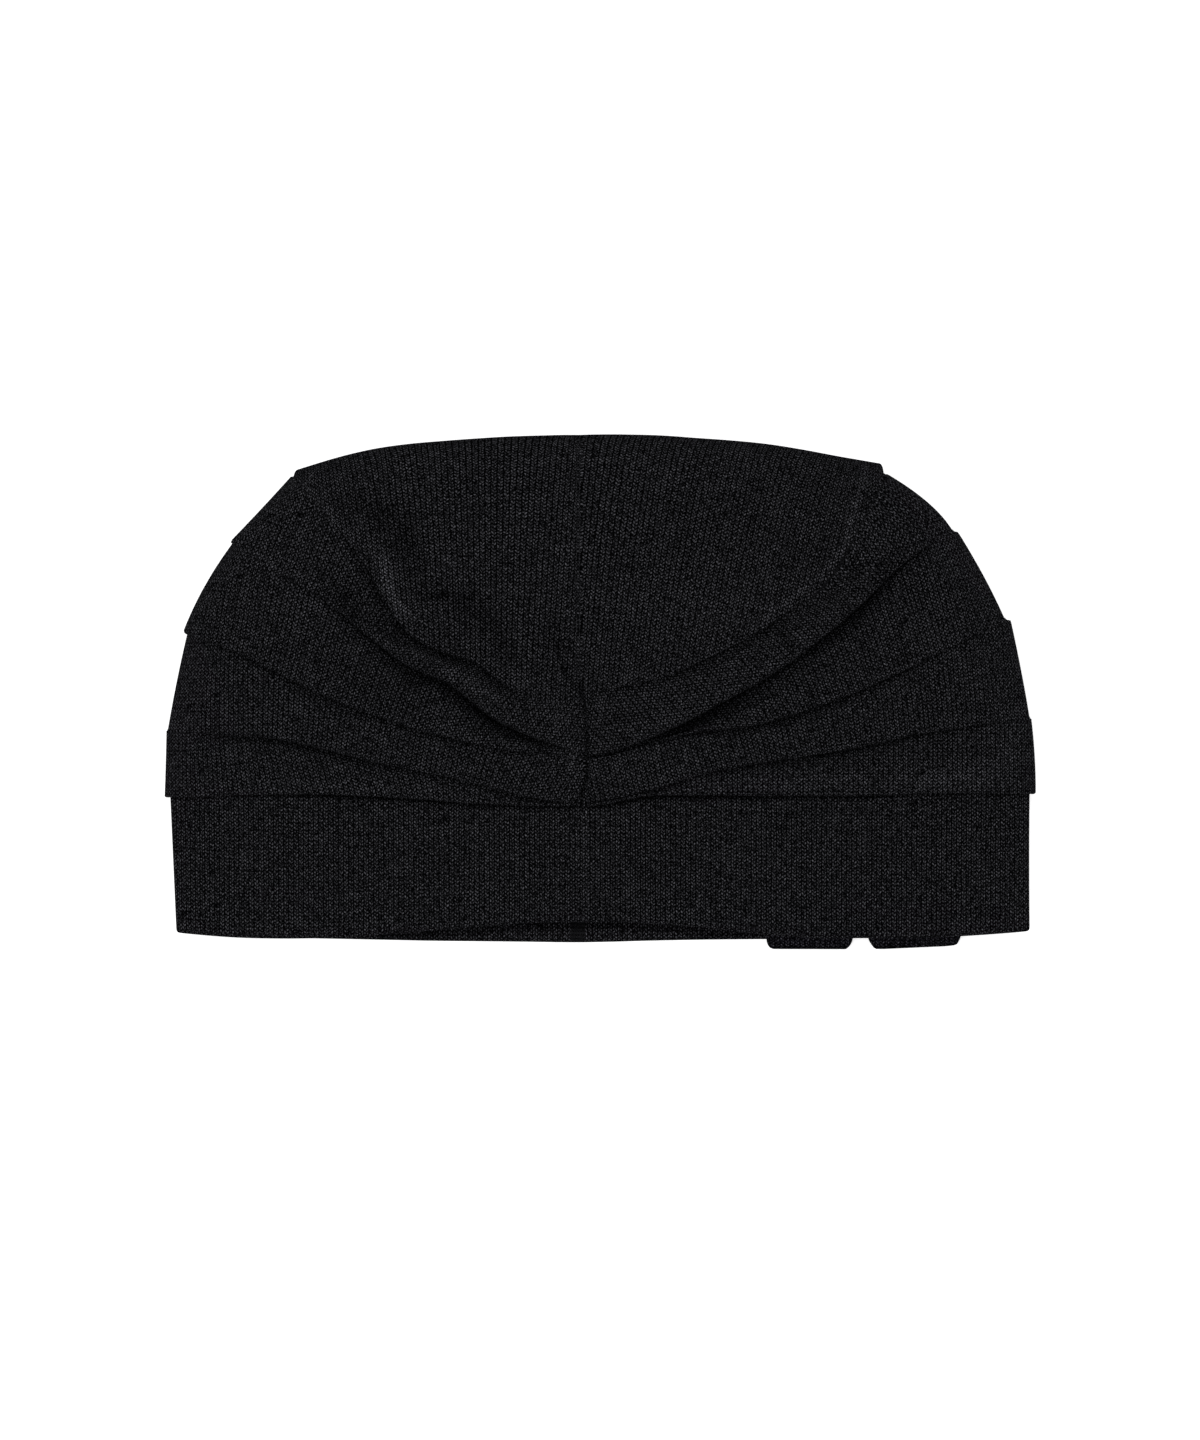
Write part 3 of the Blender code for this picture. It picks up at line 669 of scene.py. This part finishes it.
def knit_skin(name, ring, rows, relief=None, lip_row_of=None):
    """A closed skin of cloth on a grid, with its cloth map and its tones."""
    count = len(ring.c)
    placed = [ring.place(row.y, row.proud, relief) for row in rows]
    points = np.stack([spot for spot, _ in placed])
    tones = np.stack([tone * row.tone for (_, tone), row in zip(placed, rows)])
    grain = cloth_map(ring, points, np.array([row.tier for row in rows]), lip_row_of)
    bm = bmesh.new()
    bmesh.ops.create_grid(bm, x_segments=count - 1, y_segments=len(rows) - 1, size=1.0)
    mesh = bpy.data.meshes.new(name)
    bm.to_mesh(mesh)
    bm.free()
    grid = np.empty(len(mesh.vertices) * 3)
    mesh.vertices.foreach_get("co", grid)
    grid = grid.reshape(-1, 3)
    column = np.rint((grid[:, 0] + 1) / 2 * (count - 1)).astype(int)
    row = np.rint((grid[:, 1] + 1) / 2 * (len(rows) - 1)).astype(int)
    mesh.vertices.foreach_set("co", points[row, column].ravel())
    corners = np.empty(len(mesh.loops), int)
    mesh.loops.foreach_get("vertex_index", corners)
    cloth = mesh.uv_layers.new(name="cloth")
    cloth.uv.foreach_set("vector", grain[row[corners], column[corners]].ravel())
    shade = mesh.attributes.new("tone", "FLOAT", "POINT")
    shade.data.foreach_set("value", tones[row, column].astype(np.float32))
    bm = bmesh.new()
    bm.from_mesh(mesh)
    bmesh.ops.remove_doubles(bm, verts=bm.verts, dist=1e-6)
    bmesh.ops.recalc_face_normals(bm, faces=bm.faces)
    bm.to_mesh(mesh)
    bm.free()
    mesh.shade_smooth()
    piece = bpy.data.objects.new(name, mesh)
    bpy.context.scene.collection.objects.link(piece)
    return piece


# The width of a column of stitches, and the usual height of a row of them, in metres
WALE_WIDTH = 0.00143
COURSE_HEIGHT = 0.0010


def stitch_group():
    """Jersey stitches on a cloth map in metres: the relief of the loops, and the yarn's own shade with
    painted shade where the loops sink.
    """
    group = bpy.data.node_groups.new("jersey stitches", "ShaderNodeTree")
    face = group.interface
    face.new_socket("Cloth", in_out="INPUT", socket_type="NodeSocketVector")
    for label, value in (("Wale", WALE_WIDTH), ("Course", COURSE_HEIGHT), ("Slant", 0.5),
                         ("Split", 0.5), ("Mess", 0.25)):
        socket = face.new_socket(label, in_out="INPUT", socket_type="NodeSocketFloat")
        socket.default_value = value
    for label in ("Height", "Shade"):
        face.new_socket(label, in_out="OUTPUT", socket_type="NodeSocketFloat")
    nodes, links = group.nodes, group.links
    inputs = nodes.new("NodeGroupInput")
    outputs = nodes.new("NodeGroupOutput")

    def plug(value, socket):
        if isinstance(value, (int, float)):
            socket.default_value = value
        else:
            links.new(value, socket)

    def sum_of(operation, *values):
        node = nodes.new("ShaderNodeMath")
        node.operation = operation
        for value, socket in zip(values, node.inputs):
            plug(value, socket)
        return node.outputs[0]

    def point(x, y, z=0.0):
        node = nodes.new("ShaderNodeCombineXYZ")
        for value, socket in zip((x, y, z), node.inputs):
            plug(value, socket)
        return node.outputs[0]

    def noise(vector, scale, detail, roughness=0.5):
        node = nodes.new("ShaderNodeTexNoise")
        node.inputs["Scale"].default_value = scale
        node.inputs["Detail"].default_value = detail
        node.inputs["Roughness"].default_value = roughness
        links.new(vector, node.inputs["Vector"])
        return node

    def spread(value, low, high):
        node = nodes.new("ShaderNodeMapRange")
        node.inputs["From Min"].default_value = low
        node.inputs["From Max"].default_value = high
        links.new(value, node.inputs["Value"])
        return node.outputs["Result"]

    split = nodes.new("ShaderNodeSeparateXYZ")
    links.new(inputs.outputs["Cloth"], split.inputs[0])
    wales = sum_of("DIVIDE", split.outputs[0], inputs.outputs["Wale"])
    courses = sum_of("DIVIDE", split.outputs[1], inputs.outputs["Course"])
    # Loops sit unevenly, each pushed a little along and across
    push = nodes.new("ShaderNodeSeparateColor")
    links.new(noise(point(wales, courses), 0.55, 1.0).outputs["Color"], push.inputs[0])
    aside = sum_of("MULTIPLY", sum_of("SUBTRACT", push.outputs[0], 0.5), inputs.outputs["Mess"])
    ahead = sum_of("MULTIPLY", sum_of("SUBTRACT", push.outputs[1], 0.5), inputs.outputs["Mess"])
    u = sum_of("ADD", wales, aside)
    v = sum_of("ADD", courses, sum_of("MULTIPLY", ahead, 2.0))
    # Each loop shows two legs that lean apart, and the furrow between two wales is the deeper one
    column = sum_of("FLOOR", u)
    off = sum_of("SUBTRACT", sum_of("SUBTRACT", u, column), 0.5)
    out = sum_of("MULTIPLY", sum_of("ABSOLUTE", off), 2.0)
    right = sum_of("GREATER_THAN", off, 0.0)
    lean = sum_of("SUBTRACT", v, sum_of("MULTIPLY", out, inputs.outputs["Slant"]))
    lean = sum_of("ADD", lean, sum_of("MULTIPLY", right, 0.36))
    loop = sum_of("FLOOR", lean)
    along = sum_of("SUBTRACT", sum_of("SUBTRACT", lean, loop), 0.5)
    across = sum_of("SUBTRACT", sum_of("MULTIPLY", out, 2.0), 1.0)
    apart = inputs.outputs["Split"]
    furrow = sum_of("ADD", apart, sum_of("MULTIPLY", out, sum_of("SUBTRACT", 1.0, apart)))
    side_fall = sum_of("SUBTRACT", 1.0, sum_of("MULTIPLY", sum_of("MULTIPLY", across, across), furrow))
    end_fall = sum_of("SUBTRACT", 1.0, sum_of("MULTIPLY", sum_of("MULTIPLY", along, along), 3.6))
    height = sum_of("MAXIMUM", sum_of("MULTIPLY", side_fall, end_fall), 0.0)
    # Each leg of the melange yarn has its own shade, and fibres streak along it
    leg = nodes.new("ShaderNodeTexWhiteNoise")
    leg.noise_dimensions = "3D"
    links.new(point(column, loop, right), leg.inputs["Vector"])
    fibre = noise(point(sum_of("MULTIPLY", u, 4.8), sum_of("MULTIPLY", lean, 3.5), 3.7), 1.0, 1.0, 0.6)
    streak = spread(fibre.outputs["Fac"], 0.39, 0.63)
    course = sum_of("MULTIPLY", sum_of("FLOOR", v), 3.17)
    row = noise(point(sum_of("MULTIPLY", u, 0.35), course, 9.1), 1.0, 1.0)
    yarn = sum_of("ADD", sum_of("MULTIPLY", leg.outputs["Value"], 0.15), 0.67)
    yarn = sum_of("ADD", yarn, sum_of("MULTIPLY", row.outputs["Fac"], 0.12))
    yarn = sum_of("MULTIPLY", yarn, sum_of("ADD", sum_of("MULTIPLY", streak, 0.95), 0.05))
    # Painted shade: the yarn's colour darkens with the loops' relief, towards their edges and the gaps
    shade = sum_of("MULTIPLY", yarn, sum_of("POWER", height, 1.3))
    links.new(sum_of("POWER", shade, 2.2), outputs.inputs["Shade"])
    links.new(sum_of("POWER", height, 0.6), outputs.inputs["Height"])
    return group


STITCHES = stitch_group()
PAINTED_GAP_SHADE = (0.0004, 0.0004, 0.0005, 1.0)
CROWN_CHARCOAL = (0.147, 0.147, 0.163, 1.0)


def knit_material(name, course, split, light):
    """Black melange jersey: painted shade near-black in the gaps, charcoal on the yarn, painted shade
    down in the folds.
    """
    material = bpy.data.materials.new(name)
    material.use_nodes = True
    nodes, links = material.node_tree.nodes, material.node_tree.links
    shader = nodes["Principled BSDF"]
    shader.inputs["Roughness"].default_value = 0.95
    shader.inputs["Specular IOR Level"].default_value = 0.0
    cloth = nodes.new("ShaderNodeUVMap")
    cloth.uv_map = "cloth"
    stitches = nodes.new("ShaderNodeGroup")
    stitches.node_tree = STITCHES
    stitches.inputs["Course"].default_value = course
    stitches.inputs["Split"].default_value = split
    links.new(cloth.outputs["UV"], stitches.inputs["Cloth"])
    yarn = nodes.new("ShaderNodeMix")
    yarn.data_type = "RGBA"
    yarn.inputs["A"].default_value = PAINTED_GAP_SHADE
    yarn.inputs["B"].default_value = light
    links.new(stitches.outputs["Shade"], yarn.inputs["Factor"])
    # The mesh's tone scales the colour: painted shade and painted light from the rows and creases
    tone = nodes.new("ShaderNodeAttribute")
    tone.attribute_name = "tone"
    toned = nodes.new("ShaderNodeVectorMath")
    toned.operation = "SCALE"
    links.new(yarn.outputs["Result"], toned.inputs[0])
    links.new(tone.outputs["Fac"], toned.inputs["Scale"])
    links.new(toned.outputs[0], shader.inputs["Base Color"])
    bump = nodes.new("ShaderNodeBump")
    bump.inputs["Strength"].default_value = 0.8
    bump.inputs["Distance"].default_value = 0.0004
    links.new(stitches.outputs["Height"], bump.inputs["Height"])
    links.new(bump.outputs["Normal"], shader.inputs["Normal"])
    return material


crown_ring = Ring(front_count=126, back_count=32, seam_gap=0.12)
crown = knit_skin("crown_jersey", crown_ring, crown_rows(crown_ring), relief=cloth_relief,
                  lip_row_of=crown_lip_row)
crown_jersey = knit_material("crown jersey", course=0.00103, split=0.20, light=CROWN_CHARCOAL)
crown.data.materials.append(crown_jersey)
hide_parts("crown")
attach(crown, "root")

# The headband
# A plain tube of the same jersey in two layers, folded at the hem and joined by a seam at the
# middle of the front. Its upper edge is sewn in under the crown's lowest pleat.

# Sizes in metres
BAND_CLOTH = 0.0020
BAND_SEAM = 0.0006
SEAM_PROUD = 0.0002
BELOW_LIP = 0.0004
DEEP_BAND_DIVE = 0.0010
HEM_SHADOW = 0.0031
HEM_INSIDE = (0.014, 0.009)
# How pale the seam looks; the painted light that makes the back's inside at the hem pale; and the
# painted shadow of the front hem on that inside and the painted shade on the band under the crown's
# lip, where 1 is plain
SEAM_PALE = 1.45
HEM_INSIDE_PAINTED_LIGHT = 1.7
HEM_SHADOW_TONE = 0.9
UNDER_LIP_PAINTED_SHADE = 0.5
DEEP_UNDER_LIP_PAINTED_SHADE = 0.22
# How many rows run up the outside, down the inside and round the hem
BAND_OUTSIDE_ROWS = 50
BAND_INSIDE_ROWS = 40
HEM_ROWS = 9


def band_rows(ring):
    """The headband's rows, up its outside, over its upper edge, down inside and round the hem."""
    hem = ring.heights[0]
    top = ring.heights[1] + LAP
    turn = BAND_CLOTH / 2
    everywhere = np.ones(len(ring.c))
    rows = []
    dive = ring.fold_row(1, "dive") * ring.front * (1 - smooth(EDGE_FROM, 1.0, ring.c))
    gape = ring.fold_row(1, "gape")
    seam = np.exp(-((ring.c * HALF_WIDTH / BAND_SEAM) ** 2)) * ring.front
    # Painted shade on the band under the crown's lip, deeper where the tier dives
    for t in np.linspace(0, 1, BAND_OUTSIDE_ROWS):
        y = mix(hem + turn, top, mix(t, 1 - (1 - t) ** 2, 0.6))
        under = smooth(-2.2 * gape, 0.2 * gape, y - ring.heights[1] + BELOW_LIP)
        dark = mix(UNDER_LIP_PAINTED_SHADE, DEEP_UNDER_LIP_PAINTED_SHADE, smooth(0.0, DEEP_BAND_DIVE, dive))
        tone = mix(1.0, dark, under) * mix(1.0, SEAM_PALE, seam)
        rows.append(Row(y, SEAM_PROUD * seam - dive * under, 1, tone))
    rows += [Row(top, -everywhere * deep * BAND_CLOTH, 1, UNDER_LIP_PAINTED_SHADE) for deep in (0.25, 0.75)]
    front_hem = ring.pick(lambda side: station_curve(FRONT_HEM[side].heights, ring.c)) * BODY_HEIGHT
    # Painted light on the back's inside at the hem, with the front hem's shadow painted across it
    for s in (1 - np.linspace(0, 1, BAND_INSIDE_ROWS)) ** 2:
        y = mix(hem + turn, top, s)
        shadow = smooth(-HEM_SHADOW, -0.75 * HEM_SHADOW, y - front_hem)
        inside = mix(HEM_INSIDE_PAINTED_LIGHT, HEM_SHADOW_TONE, shadow)
        tone = mix(1.0, inside, smooth(*HEM_INSIDE, y) * ~ring.front)
        rows.append(Row(y, -everywhere * BAND_CLOTH, 2, tone))
    for a in np.linspace(0, math.pi, HEM_ROWS)[1:-1]:
        y = hem + turn * (1 - math.sin(a))
        rows.append(Row(y, -everywhere * turn * (1 + math.cos(a)), 2, 1.0))
    return rows + [rows[0]._replace(tier=2)]


BAND_CHARCOAL = (0.160, 0.160, 0.177, 1.0)
band_ring = Ring(front_count=84, back_count=40, seam_gap=0.12)
band = knit_skin("headband_jersey", band_ring, band_rows(band_ring))
band_jersey = knit_material("headband jersey", course=0.00107, split=0.35, light=BAND_CHARCOAL)
band.data.materials.append(band_jersey)
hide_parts("headband")
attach(band, "root")

# The label tabs
# Two small flat tabs of plain black cloth, sewn inside the back of the headband, that hang a few
# millimetres out below the hem. They are bare.

TAB_CHARCOAL = (0.160, 0.155, 0.190, 1.0)
TAB_ROUND = 0.00025
END_SHADE = 0.0015
TAB_COLUMNS = 24
TAB_ROWS = 30
# Edges that turn more than this, in radians, are rims and are rounded
RIM_TURN = 1.0
# How dark a tab's end looks, and how pale the rest, where 1 is plain
TAB_END_TONE = 0.45
TAB_TONE = 1.15

# Each tab's cut: how far in from a side edge it runs at a height over the tab's end, and how the end
# itself rises from the left to the right; across are shares of the width, heights in millimetres
TabCut = namedtuple("TabCut", "heights left right end_across end_heights")
TAB_CUTS = {
    "label_tab_left": TabCut((0.0, 0.3, 1.0, 2.1, 3.0), (0.085, 0.045, 0.020, 0.003, 0.0),
                             (0.055, 0.035, 0.005, -0.020, -0.030), (0.0, 1.0), (0.05, 0.00)),
    "label_tab_right": TabCut((0.0, 0.4, 1.4, 2.2, 3.0), (0.090, 0.060, 0.032, 0.012, 0.0),
                              (0.055, 0.020, 0.0, -0.015, -0.020),
                              (0.0, 0.10, 0.90, 1.0), (-0.25, -0.25, 0.55, 0.8)),
}
for node, cut in TAB_CUTS.items():
    low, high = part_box(node)
    bm = bmesh.new()
    bmesh.ops.create_grid(bm, x_segments=TAB_COLUMNS, y_segments=TAB_ROWS, size=0.5)
    for point in bm.verts:
        across, up = point.co.x + 0.5, (point.co.y + 0.5) ** 1.5
        end = low[1] + np.interp(across, cut.end_across, cut.end_heights) * MILLIMETRE
        y = mix(end, high[1], up)
        heights = [height * MILLIMETRE for height in cut.heights]
        left = np.interp(y - end, heights, cut.left)
        right = 1 - np.interp(y - end, heights, cut.right)
        point.co = (mix(low[0], high[0], mix(left, right, across)), y, high[2])
    bmesh.ops.solidify(bm, geom=bm.faces[:], thickness=high[2] - low[2])
    bmesh.ops.recalc_face_normals(bm, faces=bm.faces)
    rims = [edge for edge in bm.edges
            if len(edge.link_faces) == 2 and edge.calc_face_angle() > RIM_TURN]
    bmesh.ops.bevel(bm, geom=rims, offset=TAB_ROUND, segments=2, profile=0.5, affect="EDGES",
                    material=-1)
    cloth = bm.loops.layers.uv.new("cloth")
    for face in bm.faces:
        for corner in face.loops:
            corner[cloth].uv = corner.vert.co.xy
    shade = bm.verts.layers.float.new("tone")
    for point in bm.verts:
        over_end = float(smooth(0.0, END_SHADE, point.co.y - low[1]))
        point[shade] = mix(TAB_END_TONE, TAB_TONE, over_end)
    mesh = bpy.data.meshes.new(node + "_cloth")
    bm.to_mesh(mesh)
    bm.free()
    mesh.shade_smooth()
    tab = bpy.data.objects.new(node + "_cloth", mesh)
    bpy.context.scene.collection.objects.link(tab)
    tab_cloth = knit_material(node + " cloth", course=0.0009, split=0.20, light=TAB_CHARCOAL)
    tab.data.materials.append(tab_cloth)
    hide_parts(node)
    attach(tab, "root")

# The room
# A plain white floor under soft white light, bright enough that it takes no shadow, and a long lens
# straight above the middle of the photograph.

WHITE = (1.0, 1.0, 1.0, 1.0)
PAPER_WHITE = (0.92, 0.92, 0.92, 1.0)
GLOW = 0.55
FLOOR_REACH = 3.0

bm = bmesh.new()
bmesh.ops.create_grid(bm, x_segments=1, y_segments=1, size=FLOOR_REACH)
floor_mesh = bpy.data.meshes.new("floor")
bm.to_mesh(floor_mesh)
bm.free()
floor = bpy.data.objects.new("floor", floor_mesh)
bpy.context.scene.collection.objects.link(floor)
white = bpy.data.materials.new("floor white")
white.use_nodes = True
paper = white.node_tree.nodes["Principled BSDF"]
paper.inputs["Base Color"].default_value = PAPER_WHITE
paper.inputs["Roughness"].default_value = 1.0
paper.inputs["Emission Color"].default_value = WHITE
paper.inputs["Emission Strength"].default_value = GLOW
floor.data.materials.append(white)

world = bpy.data.worlds.new("studio")
world.use_nodes = True
sky = world.node_tree.nodes["Background"]
sky.inputs["Color"].default_value = WHITE
sky.inputs["Strength"].default_value = GLOW
bpy.context.scene.world = world

softbox = bpy.data.lights.new("overhead_softbox", "AREA")
softbox.shape = "SQUARE"
softbox.size = 1.2
softbox.energy = 17.0
lamp = bpy.data.objects.new("overhead_softbox", softbox)
lamp.location = (-0.15, 0.10, 1.6)
lamp.rotation_euler = (-lamp.location).to_track_quat("-Z", "Y").to_euler()
bpy.context.scene.collection.objects.link(lamp)

# The photograph's pixels: metres in one, how many it is high, and the row of the hem line
PHOTO_SCALE = 0.250 / 876
PHOTO_HIGH = 1440
HEM_LINE_PIXEL = 942
LENS = 210.0
SENSOR = 36.0
camera = bpy.data.cameras.new("camera")
camera.lens = LENS
camera.sensor_width = SENSOR
camera.sensor_fit = "AUTO"
camera.clip_end = 20.0
viewer = bpy.data.objects.new("camera", camera)
middle = HEM_LINE + (HEM_LINE_PIXEL - PHOTO_HIGH / 2) * PHOTO_SCALE
viewer.location = (0.0, middle, EDGE_HEIGHT + LENS * PHOTO_HIGH * PHOTO_SCALE / SENSOR)
bpy.context.scene.collection.objects.link(viewer)
bpy.context.scene.camera = viewer
bpy.context.scene.view_settings.view_transform = "Standard"
